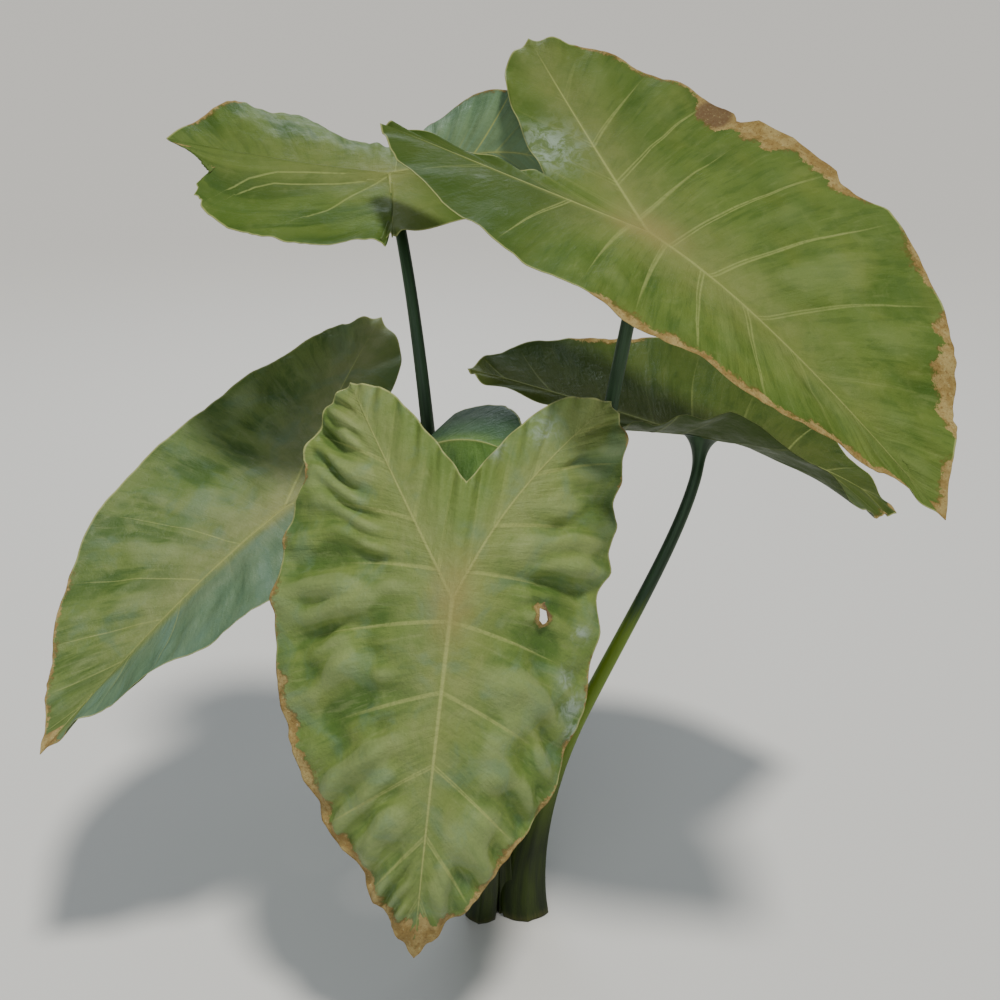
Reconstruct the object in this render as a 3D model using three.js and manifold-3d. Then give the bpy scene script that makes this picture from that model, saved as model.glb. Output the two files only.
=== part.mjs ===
// Elephant ear taro, cut at the base: six peltate leaves on stalks whose sheaths make one clump.
// Millimetres, +Z up. The origin is the middle of the clump's cut ends, on the surface it stands on.
// +X points right and +Y away from the side that is seen first.
import * as THREE from 'three';
import { mergeVertices } from 'three/addons/utils/BufferGeometryUtils.js';
import Module from 'manifold-3d';

// Driving dimensions shared by every leaf
const THICKNESS = 1.0;          // blade
const RIB_DEPTH = 3.2;          // main ribs below the blade, where the stalk meets it
const RIB_TIP = 0.4;            // the same, at the far end of a rib
const PUCKER = 3.0;             // blade raised between two side veins
const CLEARANCE = 0.3;          // between pieces that touch
const FLARE = 3.5;              // stalk widens by this under its blade
const VEINS_MIDRIB = 6;         // side veins on each side of the midrib
const VEINS_LOBE = 3;           // and on the outer side of a lobe's rib
const VEIN_BOW = 0.15;          // how far a side vein bows, as a share of its length

// Mesh density
const ROWS_PER_VEIN = 3;
const OUTER_STEPS = 6;
const INNER_STEPS = 4;
const BEND_STEPS = 24;
const STALK_SIDES = 12;
const STALK_STEPS = 22;

// Place of the row through the stalk's seat, and of the lobe's tip, on the outer margin's spline
const SEAT_ON_MARGIN = 4.5;
const LOBE_ON_MARGIN = 8;
const SINUS_ON_MARGIN = 3;

// Each leaf: seat is where the stalk meets the blade; heading, pitch and roll turn the blade, whose
// plan has u towards the apex and v to the left. fold is the slope of a half at the seat, toApex and
// toLobe what it gains on the way there, and curl the turn from rib to margin. ribBow is how far the
// midrib bows to the right, and lobeBow how far a lobe's rib bows inwards. Angles in degrees.
const LEAVES = [
  {
    name: 'upper_right_leaf', seat: [118, 34, 695], heading: -34.5, pitch: 18.5, roll: -8.5,
    apex: 348, sinus: 112, droop: 36, tipDroop: -11, lobeDroop: -2, waves: 4, waveHeight: 3,
    ribBow: 14,
    left: { width: 171, lobe: 240, spread: 136, fullness: 1, roundness: 0.6,
      fold: 35, toApex: 3, toLobe: -1, curl: 3 },
    right: { width: 127, lobe: 258, spread: 55, fullness: -0.2, roundness: -0.1,
      fold: -15, toApex: 1, toLobe: -4, curl: -3 },
    notches: [
      { side: 'left', at: 1.12, reach: 0.03, depth: 0.06 },
      { side: 'left', at: 0.88, reach: 0.05, depth: 0.05 },
    ],
    stalk: { foot: [8, 30], size: [20, 20], turn: 20, rise: [58, 40, 265], crest: [70, -14, 470],
      middle: 7.4, top: 5.8 },
  },
  {
    name: 'upper_left_leaf', seat: [-114, 187, 716], heading: 176, pitch: -4, roll: -6,
    apex: 214, sinus: 105, droop: -9, tipDroop: 1, lobeDroop: 14, waves: 3, waveHeight: 2.5,
    left: { width: 117, lobe: 20, spread: 98, fullness: 1.9, roundness: -1,
      fold: -17, toApex: -19, toLobe: -8, curl: 8 },
    right: { width: 108, lobe: 146, spread: 65, fullness: 3, roundness: 1.4,
      fold: 12, toApex: 23, toLobe: 62, curl: -37 },
    notches: [
      { side: 'left', at: 0.19, reach: 0.2, depth: 0.68 },
      { side: 'left', at: 0.36, reach: 0.07, depth: 0.14 },
    ],
    stalk: { foot: [-12, 33], size: [19, 20], turn: 0, rise: [-75, 24, 277], crest: [-58, 34, 524],
      middle: 7.2, top: 5.2 },
  },
  {
    name: 'left_leaf', seat: [-221, 106, 404], heading: -135, pitch: 20.5, roll: 4,
    apex: 324, sinus: 93, droop: 18, tipDroop: -7, lobeDroop: 11, waves: 4, waveHeight: 3,
    left: { width: 142, lobe: 185, spread: 74, fullness: 0.3, roundness: -0.3,
      fold: -4, toApex: 26, toLobe: 0, curl: 10 },
    right: { width: 150, lobe: 238, spread: 128, fullness: 0.4, roundness: 0.9,
      fold: 17, toApex: 0, toLobe: 9, curl: 21 },
    notches: [
      { side: 'left', at: 0.62, reach: 0.06, depth: 0.07 },
      { side: 'right', at: 1.75, reach: 0.06, depth: 0.06 },
    ],
    stalk: { foot: [-26, 14], size: [17, 25], turn: 0, rise: [-49, 15, 162], crest: [-177, 85, 263],
      middle: 6.4, top: 4.8 },
  },
  {
    name: 'front_leaf', seat: [-47, -143, 436], heading: -104, pitch: 61, roll: -11.5,
    apex: 323, sinus: 96, droop: 23, tipDroop: 11, lobeDroop: 5, waves: 6, waveHeight: 3,
    left: { width: 149, lobe: 186, spread: 119, lobeBow: 13, fullness: 0.5, roundness: 0.8,
      fold: -23, toApex: 3, toLobe: 13, curl: -21 },
    right: { width: 169, lobe: 179, spread: 124, fullness: 0.3, roundness: 0.4,
      fold: -17, toApex: -6, toLobe: -2, curl: -13 },
    notches: [
      { side: 'left', at: 1.15, reach: 0.06, depth: 0.04 },
      { side: 'right', at: 1.42, reach: 0.08, depth: 0.06 },
      { side: 'left', at: 0.55, reach: 0.06, depth: 0.04 },
    ],
    stalk: { foot: [-27, -8], size: [17, 21], turn: 0, rise: [-10, -34, 180], crest: [-28, -40, 375],
      middle: 6.8, top: 5.2 },
  },
  {
    name: 'right_leaf', seat: [169, 134, 473], heading: 7.5, pitch: 9, roll: 8,
    apex: 266, sinus: 71, droop: 30, tipDroop: 0, lobeDroop: 5, waves: 4, waveHeight: 3,
    left: { width: 165, lobe: 204, spread: 90, fullness: 0.2, roundness: -0.1,
      fold: 5, toApex: 2, toLobe: 1, curl: 7 },
    right: { width: 146, lobe: 108, spread: 51, fullness: 0.3, roundness: -0.1,
      fold: 25, toApex: -39, toLobe: -7, curl: 20 },
    notches: [
      { side: 'left', at: 1.3, reach: 0.1, depth: 0.06 },
    ],
    stalk: { foot: [16, -3], size: [26, 23], turn: 0, rise: [-10, 24, 126], crest: [197, 75, 386],
      middle: 7.4, top: 5.4, ahead: 22 },
  },
  {
    name: 'young_leaf', seat: [-79, 1, 507], heading: -36, pitch: -34.5, roll: -2.5,
    apex: 124, sinus: 24, droop: 48, tipDroop: 14, lobeDroop: 13, waves: 2, waveHeight: 1.5,
    left: { width: 67, lobe: 50, spread: 24, fullness: 0.8, roundness: 0.4,
      fold: 19, toApex: 2, toLobe: -6, curl: -7 },
    right: { width: 75, lobe: 48, spread: 24, fullness: 0.6, roundness: 0.2,
      fold: -34, toApex: -13, toLobe: 0, curl: 7 },
    notches: [],
    stalk: { foot: [-2, -1], size: [12, 12], turn: 0, rise: [-4, 0, 200], crest: [-28, 0, 390],
      middle: 4.6, top: 3.4 },
  },
];

// Order in which the sheaths wrap each other in the clump, from the inside out
const WRAPPING = ['young_leaf', 'front_leaf', 'upper_right_leaf', 'upper_left_leaf', 'left_leaf', 'right_leaf'];

const radians = THREE.MathUtils.degToRad;
const mix = THREE.MathUtils.lerp;

function smooth(value, from, to) {
  return THREE.MathUtils.smoothstep(value, from, to);
}

// Catmull-Rom spline through plan points, with mirrored points past both ends
function splinePoint(points, place) {
  const last = points.length - 1;
  const start = Math.min(Math.floor(place), last - 1);
  const t = place - start;
  const point = (index, axis) => {
    if (index < 0) return 2 * points[0][axis] - points[1][axis];
    if (index > last) return 2 * points[last][axis] - points[last - 1][axis];
    return points[index][axis];
  };
  return [0, 1].map((axis) => {
    const [a, b, c, d] = [-1, 0, 1, 2].map((step) => point(start + step, axis));
    return 0.5 * (2 * b + (c - a) * t + (2 * a - 5 * b + 4 * c - d) * t * t + (3 * b - a - 3 * c + d) * t ** 3);
  });
}

// Margin of one half from the apex round to the lobe's tip
function outerMargin(leaf, half) {
  const { width, lobe, spread, fullness, roundness } = half;
  const shoulder = width - spread;
  return [
    [leaf.apex, 0],
    [0.93 * leaf.apex, (0.11 + 0.04 * fullness) * width],
    [0.80 * leaf.apex, (0.33 + 0.12 * fullness) * width],
    [0.58 * leaf.apex, (0.68 + 0.10 * fullness) * width],
    [0.28 * leaf.apex, (0.94 + 0.03 * fullness) * width],
    [-0.05 * leaf.apex, width],
    [-0.50 * lobe, spread + (0.80 + 0.10 * roundness) * shoulder],
    [-0.85 * lobe, spread + (0.40 + 0.30 * roundness) * shoulder],
    [-lobe, spread],
  ];
}

// Margin of one half from the lobe's tip in to the sinus
function innerMargin(leaf, half) {
  const { lobe, spread, roundness } = half;
  const depth = lobe - leaf.sinus;
  return [
    [-lobe, spread],
    [-lobe + (0.12 - 0.06 * roundness) * depth, (0.72 - 0.12 * roundness) * spread],
    [-leaf.sinus - (0.35 + 0.25 * roundness) * depth, 0.30 * spread],
    [-leaf.sinus, 0],
  ];
}

// How much of a row is torn away: row runs from 0 at the apex to 1 at the seat and 2 at the lobe's tip
function tornShare(leaf, side, row) {
  return leaf.notches
    .filter((notch) => notch.side === side)
    .reduce((share, notch) => share + notch.depth * Math.max(0, 1 - ((row - notch.at) / notch.reach) ** 2), 0);
}

// Plan point of a row's start, on the midrib or on the rib of a lobe
function ribPoint(leaf, side, row) {
  const half = leaf[side];
  if (row <= 1) {
    const offset = (leaf.ribBow ?? 0) * Math.sin(Math.PI * row);
    return [leaf.apex * (1 - row), side === 'right' ? offset : -offset];
  }
  const bow = (half.lobeBow ?? 0) * Math.sin(Math.PI * (row - 1));
  return [-half.lobe * (row - 1), half.spread * (row - 1) - bow];
}

// Plan point on a row of the outer part, step 0 on the rib and 1 on the margin
function outerPoint(leaf, side, row, step) {
  const half = leaf[side];
  const place = row <= 1 ? SEAT_ON_MARGIN * row : mix(SEAT_ON_MARGIN, LOBE_ON_MARGIN, row - 1);
  const margin = splinePoint(outerMargin(leaf, half), place);
  const rib = ribPoint(leaf, side, row);
  const reach = step * (1 - tornShare(leaf, side, row));
  const length = Math.hypot(margin[0] - rib[0], margin[1] - rib[1]);
  const bow = VEIN_BOW * row * (2 - row) * reach * (1 - reach) * length;
  return [mix(rib[0], margin[0], reach) - bow, mix(rib[1], margin[1], reach)];
}

// Plan point on a row between a lobe's rib and its inner margin, row 0 at the lobe's tip and 1 at the sinus
function innerPoint(leaf, side, row, step) {
  const half = leaf[side];
  const margin = splinePoint(innerMargin(leaf, half), SINUS_ON_MARGIN * row);
  const rib = ribPoint(leaf, side, 2 - row);
  return [mix(rib[0], margin[0], step), mix(rib[1], margin[1], step)];
}

// Height of the blade over its plain form: puckers between side veins and a waved margin
function relief(leaf, row, step) {
  const veins = row <= 1 ? VEINS_MIDRIB * row : VEINS_MIDRIB + VEINS_LOBE * (row - 1);
  const size = leaf.apex / 350;
  const pucker = PUCKER * size * Math.sin(Math.PI * veins) ** 2 * Math.sin(Math.PI * step);
  const wave = leaf.waveHeight * step ** 2 * Math.sin(2 * Math.PI * leaf.waves * row) * Math.min(1, 4 * row);
  return pucker + wave;
}

// A plan point bent along the midrib and across it, in the leaf's own frame
function bend(leaf, u, v, height = 0) {
  const meanLobe = (leaf.left.lobe + leaf.right.lobe) / 2;
  const ahead = Math.max(0, u / leaf.apex);
  const behind = Math.max(0, -u / meanLobe);
  const turnAt = (share) => (u >= 0
    ? radians(leaf.droop * ahead * share + leaf.tipDroop * (ahead * share) ** 3)
    : -radians(leaf.lobeDroop * behind * share));
  let x = 0;
  let z = 0;
  for (let i = 0; i < BEND_STEPS; i += 1) {
    const turn = turnAt((i + 0.5) / BEND_STEPS);
    x += Math.cos(turn) * u / BEND_STEPS;
    z -= Math.sin(turn) * u / BEND_STEPS;
  }
  const half = v >= 0 ? leaf.left : leaf.right;
  const sign = v >= 0 ? 1 : -1;
  const fold = radians(half.fold + half.toApex * ahead + half.toLobe * behind);
  const curl = radians(half.curl) / half.width;
  const slope = fold + curl * Math.abs(v);
  const across = (Math.sin(slope) - Math.sin(fold)) / curl;
  const rise = (Math.cos(fold) - Math.cos(slope)) / curl;
  const turn = turnAt(1);
  const up = rise + height * Math.cos(slope);
  return new THREE.Vector3(
    x + up * Math.sin(turn),
    sign * (across - height * Math.sin(slope)),
    z + up * Math.cos(turn),
  );
}

// Turn and place a point of the leaf's own frame in the plant
function leafMatrix(leaf) {
  const turned = new THREE.Matrix4().makeRotationFromEuler(
    new THREE.Euler(radians(leaf.roll), radians(leaf.pitch), radians(leaf.heading), 'ZYX'),
  );
  return new THREE.Matrix4().makeTranslation(...leaf.seat).multiply(turned);
}

// Middle surface of a blade: points, triangles, the loop round its margin and the ribs' depths
function bladeSurface(leaf) {
  const matrix = leafMatrix(leaf);
  const points = [];
  const ribs = [];
  const triangles = [];
  const known = new Map();
  const midribRows = VEINS_MIDRIB * ROWS_PER_VEIN;
  const lobeRows = VEINS_LOBE * ROWS_PER_VEIN;

  const vertex = (side, plan, row, step, ribShare) => {
    const v = side === 'left' ? plan[1] : -plan[1];
    const key = `${plan[0].toFixed(3)} ${v.toFixed(3)}`.replace('-0.000', '0.000');
    if (!known.has(key)) {
      known.set(key, points.length);
      points.push(bend(leaf, plan[0], v, relief(leaf, row, step)).applyMatrix4(matrix));
      ribs.push(step === 0 ? mix(RIB_DEPTH, RIB_TIP, ribShare) * Math.min(1, leaf.apex / 250) : 0);
    }
    return known.get(key);
  };

  const addTriangle = (a, b, c, side) => {
    if (a === b || b === c || a === c) return;
    triangles.push(side === 'left' ? [a, c, b] : [a, b, c]);
  };

  const addGrid = (rows, side) => {
    for (let j = 0; j + 1 < rows.length; j += 1) {
      for (let k = 0; k + 1 < rows[j].length; k += 1) {
        addTriangle(rows[j][k], rows[j + 1][k], rows[j + 1][k + 1], side);
        addTriangle(rows[j][k], rows[j + 1][k + 1], rows[j][k + 1], side);
      }
    }
  };

  const margins = ['left', 'right'].map((side) => {
    const outer = [];
    for (let j = 0; j <= midribRows + lobeRows; j += 1) {
      const row = j <= midribRows ? j / midribRows : 1 + (j - midribRows) / lobeRows;
      const steps = Array.from({ length: OUTER_STEPS + 1 }, (_, k) => k / OUTER_STEPS);
      outer.push(steps.map((step) => vertex(side, outerPoint(leaf, side, row, step), row, step, Math.abs(row - 1))));
    }
    const inner = [];
    for (let j = 0; j <= lobeRows; j += 1) {
      const row = j / lobeRows;
      const steps = Array.from({ length: INNER_STEPS + 1 }, (_, k) => k / INNER_STEPS);
      inner.push(steps.map((step) => vertex(side, innerPoint(leaf, side, row, step), 2 - row, step, 1 - row)));
    }
    addGrid(outer, side);
    addGrid(inner, side);
    const margin = outer.map((row) => row[OUTER_STEPS]);
    return margin.concat(inner.slice(1).map((row) => row[INNER_STEPS]));
  });
  const loop = margins[0].concat(margins[1].slice(1, -1).reverse());
  return { points, ribs, triangles, loop };
}

// A blade as one closed solid, with extra thickness on both faces where it is used as a cutter
function bladeGeometry(leaf, extra = 0) {
  const { points, ribs, triangles, loop } = bladeSurface(leaf);
  const middle = new THREE.BufferGeometry().setFromPoints(points);
  middle.setIndex(triangles.flat());
  middle.computeVertexNormals();
  const normals = middle.getAttribute('normal');
  const count = points.length;
  const shell = [];
  const offsets = [() => THICKNESS / 2 + extra, (i) => -THICKNESS / 2 - extra - ribs[i]];
  offsets.forEach((offset) => points.forEach((point, i) => {
    const normal = new THREE.Vector3().fromBufferAttribute(normals, i);
    shell.push(point.clone().addScaledVector(normal, offset(i)));
  }));
  const faces = [];
  triangles.forEach(([a, b, c]) => faces.push([a, b, c], [a + count, c + count, b + count]));
  loop.forEach((a, i) => {
    const b = loop[(i + 1) % loop.length];
    faces.push([a + count, b + count, b], [a + count, b, a]);
  });
  const geometry = new THREE.BufferGeometry().setFromPoints(shell);
  geometry.setIndex(faces.flat());
  return geometry;
}

// A stalk from its flat cut end in the clump up to the blade, widened by extra where it is a cutter
function stalkGeometry(leaf, extra = 0) {
  const { stalk } = leaf;
  const up = new THREE.Vector3(0, 0, 1);
  const matrix = leafMatrix(leaf);
  const seat = bend(leaf, stalk.ahead ?? 0, 0).applyMatrix4(matrix);
  const bladeUp = up.clone().transformDirection(matrix);
  const curve = new THREE.CubicBezierCurve3(
    new THREE.Vector3(...stalk.foot, 0),
    new THREE.Vector3(...stalk.rise),
    new THREE.Vector3(...stalk.crest),
    seat,
  );
  const longAxis = new THREE.Vector3(Math.cos(radians(stalk.turn)), Math.sin(radians(stalk.turn)), 0);
  const points = [];
  for (let k = 0; k <= STALK_STEPS; k += 1) {
    const t = k / STALK_STEPS;
    const normal = up.clone().lerp(curve.getTangent(t), smooth(t, 0, 0.2));
    normal.lerp(bladeUp, smooth(t, 0.9, 1)).normalize();
    const along = longAxis.clone().addScaledVector(normal, -longAxis.dot(normal)).normalize();
    const across = new THREE.Vector3().crossVectors(normal, along);
    const round = mix(stalk.middle, stalk.top, smooth(t, 0.3, 0.95)) + FLARE * smooth(t, 0.93, 1);
    const sheath = 1 - smooth(t, 0.02, 0.42);
    const centre = curve.getPoint(t);
    for (let i = 0; i < STALK_SIDES; i += 1) {
      const angle = 2 * Math.PI * i / STALK_SIDES;
      points.push(centre.clone()
        .addScaledVector(along, (mix(round, stalk.size[0], sheath) + extra) * Math.cos(angle))
        .addScaledVector(across, (mix(round, stalk.size[1], sheath) + extra) * Math.sin(angle)));
    }
  }
  const faces = [];
  for (let k = 0; k < STALK_STEPS; k += 1) {
    for (let i = 0; i < STALK_SIDES; i += 1) {
      const next = (i + 1) % STALK_SIDES;
      const [a, b] = [k * STALK_SIDES + i, k * STALK_SIDES + next];
      faces.push([a, b, b + STALK_SIDES], [a, b + STALK_SIDES, a + STALK_SIDES]);
    }
  }
  const top = STALK_STEPS * STALK_SIDES;
  for (let i = 1; i + 1 < STALK_SIDES; i += 1) {
    faces.push([0, i + 1, i], [top, top + i, top + i + 1]);
  }
  const geometry = new THREE.BufferGeometry().setFromPoints(points);
  geometry.setIndex(faces.flat());
  return geometry;
}

const wasm = await Module();
wasm.setup();

function toSolid(geometry) {
  const clean = geometry.clone();
  clean.deleteAttribute('normal');
  clean.deleteAttribute('uv');
  const merged = mergeVertices(clean, 1e-4);
  return new wasm.Manifold(new wasm.Mesh({
    numProp: 3,
    vertProperties: new Float32Array(merged.getAttribute('position').array),
    triVerts: new Uint32Array(merged.getIndex().array),
  }));
}

function toGeometry(solid) {
  const mesh = solid.getMesh();
  const geometry = new THREE.BufferGeometry();
  geometry.setAttribute('position', new THREE.BufferAttribute(mesh.vertProperties, 3));
  geometry.setIndex(new THREE.BufferAttribute(mesh.triVerts, 1));
  return geometry;
}

// The biggest body of a solid, without the slivers that a cut can leave
function mainBody(solid) {
  return solid.decompose().reduce((best, body) => (body.volume() > best.volume() ? body : best));
}

const green = { roughness: 0.55, metalness: 0 };
const bladeMaterial = new THREE.MeshStandardMaterial({ ...green, name: 'blade', color: 0x5f7336 });
const youngMaterial = new THREE.MeshStandardMaterial({ ...green, name: 'young_blade', color: 0x4a6b45 });
const stalkMaterial = new THREE.MeshStandardMaterial({ ...green, name: 'stalk', color: 0x33401c });

const plant = new THREE.Group();
plant.name = 'elephant_ear_taro';

function addPiece(name, geometry, material) {
  geometry.computeVertexNormals();
  const mesh = new THREE.Mesh(geometry, material);
  mesh.name = name;
  plant.add(mesh);
}

// Blades
LEAVES.forEach((leaf) => {
  addPiece(`${leaf.name}_blade`, bladeGeometry(leaf), leaf.name === 'young_leaf' ? youngMaterial : bladeMaterial);
});

// Stalks: each is cut clear of its blade and of the sheaths that it wraps
const wrapped = [];
WRAPPING.forEach((name) => {
  const leaf = LEAVES.find((entry) => entry.name === name);
  let solid = toSolid(stalkGeometry(leaf)).subtract(toSolid(bladeGeometry(leaf, CLEARANCE)));
  wrapped.forEach((inner) => {
    solid = solid.subtract(inner);
  });
  addPiece(`${leaf.name}_stalk`, toGeometry(mainBody(solid)), stalkMaterial);
  wrapped.push(toSolid(stalkGeometry(leaf, CLEARANCE)));
});

export default plant;
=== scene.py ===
"""Elephant ear taro, cut at the base: the looks of the blades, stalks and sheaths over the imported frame."""
import math
from types import SimpleNamespace

import bpy
import numpy as np
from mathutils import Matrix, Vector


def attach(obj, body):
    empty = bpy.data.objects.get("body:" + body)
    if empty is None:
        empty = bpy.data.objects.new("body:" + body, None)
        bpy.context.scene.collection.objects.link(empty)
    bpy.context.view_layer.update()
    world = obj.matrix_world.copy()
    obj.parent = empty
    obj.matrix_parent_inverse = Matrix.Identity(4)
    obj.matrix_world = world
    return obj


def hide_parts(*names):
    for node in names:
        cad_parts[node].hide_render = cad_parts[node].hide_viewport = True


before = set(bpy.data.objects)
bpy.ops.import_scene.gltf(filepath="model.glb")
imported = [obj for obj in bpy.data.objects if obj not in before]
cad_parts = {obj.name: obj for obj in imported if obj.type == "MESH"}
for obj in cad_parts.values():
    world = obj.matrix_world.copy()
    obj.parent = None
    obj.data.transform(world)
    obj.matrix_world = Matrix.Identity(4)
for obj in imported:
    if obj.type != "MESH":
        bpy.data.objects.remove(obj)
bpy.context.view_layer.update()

# Where the seat, the lobe's tip and the sinus lie along the margins' points, and how far rows bow forward
SEAT_ON_MARGIN = 4.5
LOBE_ON_MARGIN = 8
SINUS_ON_MARGIN = 3
VEIN_BOW = 0.15

# How far past the blade its bend is worked out, in how many steps, and how much longer for the lobes
BEND_REACH = 1.15
BEND_STEPS = 231
LOBE_BEND = 1.6

# Measures of blades and stalks, in millimetres
RIB_DEPTH = 3.2
RIB_TIP = 0.4
FLARE = 4.0
FLARES = {"right_leaf": 15.0}
FAR = 60.0
DEEPEST_WEAR = 20
HALF_AT_RIM = 0.26
HALF_MORE_INSIDE = 0.2
FULL_APEX = 350
HOLLOW_APART = 500
MM_IN_METRES = 0.001

# What keeps the noises of halves and leaves apart; a leaf's texture space is in decimetres
NOISE_SHIFTS = dict(left=11.3, right=37.9)
FIRST_SEED = 100
SEEDS_PER_LEAF = 10
TEXTURE_UNIT = 100
TEXTURE_APART = 7.3

# Stalks from the innermost sheath of the clump to the outermost, with the side where each sheath laps
SEAMS = dict(
    young_leaf=200, front_leaf=100, upper_right_leaf=250, upper_left_leaf=300, left_leaf=10, right_leaf=185,
)

# Mesh density
MIDRIB_ROWS = 156
LOBE_ROWS = 78
INNER_STEPS = 22
STALK_SIDES = 72
STALK_RINGS = 150
CAP_SHARES = (0.6, 0.25)
RIB_STEPS = (0, 0.008, 0.016, 0.026, 0.04, 0.06, 0.085)
MARGIN_STEPS = (0.965, 0.98, 0.991, 1)
STEPS = np.concatenate([RIB_STEPS, np.linspace(0.112, 0.945, 32), MARGIN_STEPS])

# Light and camera; each light is a name, a kind, a place, a target, a size, a power and a colour
CAMERA_PLACE = (-0.0083, -1.1444, 0.9691)
CAMERA_TILT = 66
CAMERA_LENS = 50
CAMERA_SENSOR = 36
FLOOR_SIZE = 120
FLOOR_COLOR = (0.62, 0.61, 0.59)
LIGHTS = [
    ("key", "SUN", (0.5, -0.55, 3.0), (0, 0, 0.4), 0.16, 3.0, (1.0, 0.97, 0.9)),
    ("front", "AREA", (-0.5, -2.3, 1.5), (0, 0, 0.4), 1.3, 20, (0.9, 0.96, 1.0)),
    ("back", "AREA", (-0.2, 1.9, 1.7), (0, 0, 0.5), 1.0, 16, (0.85, 0.94, 1.0)),
]
SKY_COLOR = (0.9, 0.95, 1.0, 1)
SKY_STRENGTH = 0.25


class Noise:
    """Smooth seeded noise in two dimensions, from -1 to 1."""

    def __init__(self, seed, size=64):
        self.size = size
        self.table = np.random.default_rng(seed).uniform(-1, 1, (size, size))

    def __call__(self, x, y):
        x, y = np.broadcast_arrays(np.asarray(x, float), np.asarray(y, float))
        i, j = np.floor(x).astype(int), np.floor(y).astype(int)
        s, t = x - i, y - j
        s, t = s * s * (3 - 2 * s), t * t * (3 - 2 * t)
        low = self.pick(i, j) * (1 - s) + self.pick(i + 1, j) * s
        high = self.pick(i, j + 1) * (1 - s) + self.pick(i + 1, j + 1) * s
        return low * (1 - t) + high * t

    def pick(self, i, j):
        return self.table[i % self.size, j % self.size]


def smooth(value, start, end):
    """A smooth step from 0 at start to 1 at end."""
    t = np.clip((np.asarray(value, float) - start) / (end - start), 0, 1)
    return t * t * (3 - 2 * t)


def unit(vectors):
    return vectors / np.maximum(np.linalg.norm(vectors, axis=-1, keepdims=True), 1e-12)


def spline(points, place):
    """Catmull-Rom spline through plan points, with mirrored points past both ends."""
    points = np.array(points, float)
    points = np.vstack([2 * points[0] - points[1], points, 2 * points[-1] - points[-2]])
    start = np.minimum(np.floor(place).astype(int), len(points) - 4)
    t = (place - start)[:, None]
    a, b, c, d = (points[start + k] for k in range(4))
    return 0.5 * (2 * b + (c - a) * t + (2 * a - 5 * b + 4 * c - d) * t**2 + (3 * b - a - 3 * c + d) * t**3)


def outer_margin(leaf, half):
    """Plan points of a half's margin, from the apex to the lobe's tip."""
    apex, lobe, spread, width = leaf["apex"], half["lobe"], half["spread"], half["width"]
    full, rounded = half["fullness"], half["roundness"]
    shoulder = width - spread
    return [
        (apex, 0),
        (0.93 * apex, (0.11 + 0.04 * full) * width),
        (0.80 * apex, (0.33 + 0.12 * full) * width),
        (0.58 * apex, (0.68 + 0.10 * full) * width),
        (0.28 * apex, (0.94 + 0.03 * full) * width),
        (-0.05 * apex, width),
        (-0.50 * lobe, spread + (0.80 + 0.10 * rounded) * shoulder),
        (-0.85 * lobe, spread + (0.40 + 0.30 * rounded) * shoulder),
        (-lobe, spread),
    ]


def inner_margin(leaf, half):
    """Plan points of a half's margin, from the lobe's tip to the sinus."""
    lobe, spread, rounded = half["lobe"], half["spread"], half["roundness"]
    depth = lobe - leaf["sinus"]
    return [
        (-lobe, spread),
        (-lobe + (0.12 - 0.06 * rounded) * depth, (0.72 - 0.12 * rounded) * spread),
        (-leaf["sinus"] - (0.35 + 0.25 * rounded) * depth, 0.30 * spread),
        (-leaf["sinus"], 0),
    ]


def torn_share(leaf, side, row):
    """How much of each row the notches take away."""
    share = np.zeros_like(row)
    for notch_side, at, reach, depth in leaf["notches"]:
        if notch_side == side:
            share += depth * np.maximum(0, 1 - ((row - at) / reach) ** 2)
    return share


def rib_plan(leaf, side, row):
    """Plan points of the rows' starts, on the midrib or on the rib of a lobe."""
    half = leaf[side]
    offset = leaf.get("rib_bow", 0) * np.sin(np.pi * row) * (1 if side == "right" else -1)
    bow = half.get("lobe_bow", 0) * np.sin(np.pi * (row - 1))
    rib_u = np.where(row <= 1, leaf["apex"] * (1 - row), -half["lobe"] * (row - 1))
    rib_v = np.where(row <= 1, offset, half["spread"] * (row - 1) - bow)
    return np.stack([rib_u, rib_v], 1)


def outer_plan(leaf, side, row, step, wear):
    """Plan points outside the ribs; row is 0 at the apex, 1 at the seat and 2 at the lobe's tip."""
    half = leaf[side]
    past_seat = SEAT_ON_MARGIN + (LOBE_ON_MARGIN - SEAT_ON_MARGIN) * (row - 1)
    margin = spline(outer_margin(leaf, half), np.where(row <= 1, SEAT_ON_MARGIN * row, past_seat))
    rib = rib_plan(leaf, side, row)
    length = np.hypot(*(margin - rib).T)
    worn = wear * smooth(length, 8, 60) / np.maximum(length, 20)
    whole = (1 - torn_share(leaf, side, row) - worn)[:, None]
    reach = step[None, :] * (1 - (1 - whole) * step[None, :] ** 3)
    bow = VEIN_BOW * (row * (2 - row) * length)[:, None] * reach * (1 - reach)
    plan = rib[:, None] + (margin - rib)[:, None] * reach[..., None]
    return plan[..., 0] - bow, plan[..., 1], length


def inner_plan(leaf, side, row, step):
    """Plan points inside a lobe's rib; row is 0 at the lobe's tip and 1 at the sinus."""
    margin = spline(inner_margin(leaf, leaf[side]), SINUS_ON_MARGIN * row)
    rib = rib_plan(leaf, side, 2 - row)
    plan = rib[:, None] + (margin - rib)[:, None] * step[:, None]
    return plan[..., 0], plan[..., 1], np.hypot(*(margin - rib).T)


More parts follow.
